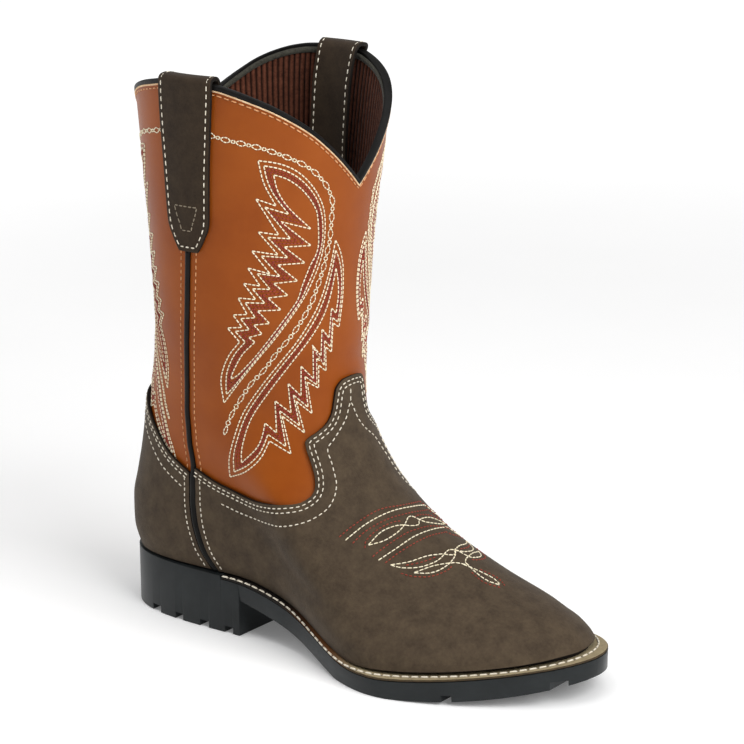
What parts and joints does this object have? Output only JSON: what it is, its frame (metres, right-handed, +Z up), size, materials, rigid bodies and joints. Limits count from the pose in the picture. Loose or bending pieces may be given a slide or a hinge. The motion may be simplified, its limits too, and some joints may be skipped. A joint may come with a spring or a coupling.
{
  "type": "western_boot",
  "caption": "Pull-on youth western boot for a right foot: tan stitched shaft, dark brown vamp and heel counter, pull straps, stitched welt and black rubber sole",
  "frame": {"origin": "middle of the boot's bounding box on the floor, under the arch of the sole", "axes": "+X towards the toe, -Y towards the lateral side, +Z up the shaft"},
  "size_m": [0.235, 0.1098, 0.2443],
  "materials": {
    "tan_leather": "smooth tan leather with a soft sheen",
    "brown_nubuck": "matt dark brown leather with a short nap",
    "black_trim": "black leather trim, low sheen",
    "welt_leather": "natural pale leather, stitched",
    "insole_board": "matt insole lining",
    "black_rubber": "matt moulded rubber",
    "thread": "cream sewing thread, low sheen",
    "red_thread": "brick red sewing thread, low sheen",
    "lining_fabric": "maroon ribbed cloth lining"
  },
  "bodies": {
    "root": {"upper": "tan_leather", "vamp": "brown_nubuck", "heel_counter": "brown_nubuck", "collar_binding": "black_trim", "side_piping_lateral": "black_trim", "side_piping_medial": "black_trim", "pull_strap_lateral": "brown_nubuck", "pull_strap_medial": "brown_nubuck", "welt": "welt_leather", "insole": "insole_board", "outsole": "black_rubber"}
  },
  "joints": []
}
